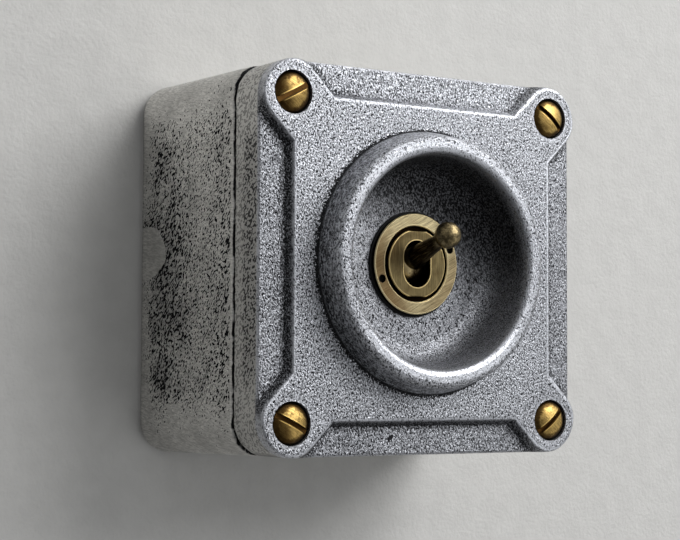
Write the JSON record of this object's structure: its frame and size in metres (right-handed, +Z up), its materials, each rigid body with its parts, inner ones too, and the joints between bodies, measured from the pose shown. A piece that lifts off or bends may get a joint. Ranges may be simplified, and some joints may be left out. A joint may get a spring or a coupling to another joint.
{
  "type": "conduit toggle light switch",
  "caption": "Square cast aluminium surface switch with a guard ring round a brass ball-end toggle, corner cover screws and a tapped conduit entry.",
  "frame": {"origin": "centre of the flat back face, on the wall plane", "axes": "+Z up the wall, +X to the right as seen from the front, +Y into the wall; the front faces -Y"},
  "size_m": [0.0882, 0.0682, 0.0882],
  "materials": {
    "cast_box": "bare sand casting, brushed on its edges, dark pits",
    "cast_cover": "bare sand casting, pitted grain, polished edges",
    "gasket_black": "matt black sheet",
    "screw_brass": "aged brass with dark slots",
    "switch_brass": "brushed antique brass",
    "lever_brass": "dark antique brass",
    "washer_black": "black fibre",
    "steel": "zinc plated",
    "moulding": "dark phenolic moulding",
    "contact_brass": "bare contact brass",
    "contact_silver": "silver contact faces"
  },
  "bodies": {
    "housing": {"back_box": "cast_box", "cover_gasket": "gasket_black", "cover_plate": "cast_cover", "cover_screws": "screw_brass", "nut_washer": "washer_black", "ring_nut": "switch_brass", "lock_washer": "steel", "switch_bush": "switch_brass", "pivot_pin": "steel", "switch_frame": "steel", "switch_housing": "moulding", "terminal_base": "moulding", "fixed_tips": "contact_silver", "common_terminal": "contact_brass", "upper_terminal": "contact_brass", "lower_terminal": "contact_brass", "terminal_screws": "screw_brass", "earth_screw": "screw_brass", "earth_washer": "screw_brass"},
    "lever": {"toggle_lever": "lever_brass", "plunger_spring": "steel"},
    "plunger": {"plunger": "contact_brass"},
    "rocker": {"rocker": "contact_brass", "rocker_tips": "contact_silver"}
  },
  "joints": [
    {"name": "toggle_hinge", "type": "hinge", "parent": "housing", "child": "lever", "pos_m": [0, -0.04815, 0], "axis": [1, 0, 0], "range_deg": [0, 38]},
    {"name": "plunger_slide", "type": "slide", "parent": "lever", "child": "plunger", "axis": [0, -0.9455, 0.3256], "range_m": [0, 0.0012], "stiffness_N_per_m": 200, "deforming": ["plunger_spring"]},
    {"name": "rocker_tilt", "type": "hinge", "parent": "housing", "child": "rocker", "pos_m": [0, -0.03215, 0], "axis": [1, 0, 0], "range_deg": [-20, 0]}
  ],
  "couplings": [
    {"joint": "rocker_tilt", "follows": "toggle_hinge", "ratio": -0.52632}
  ]
}
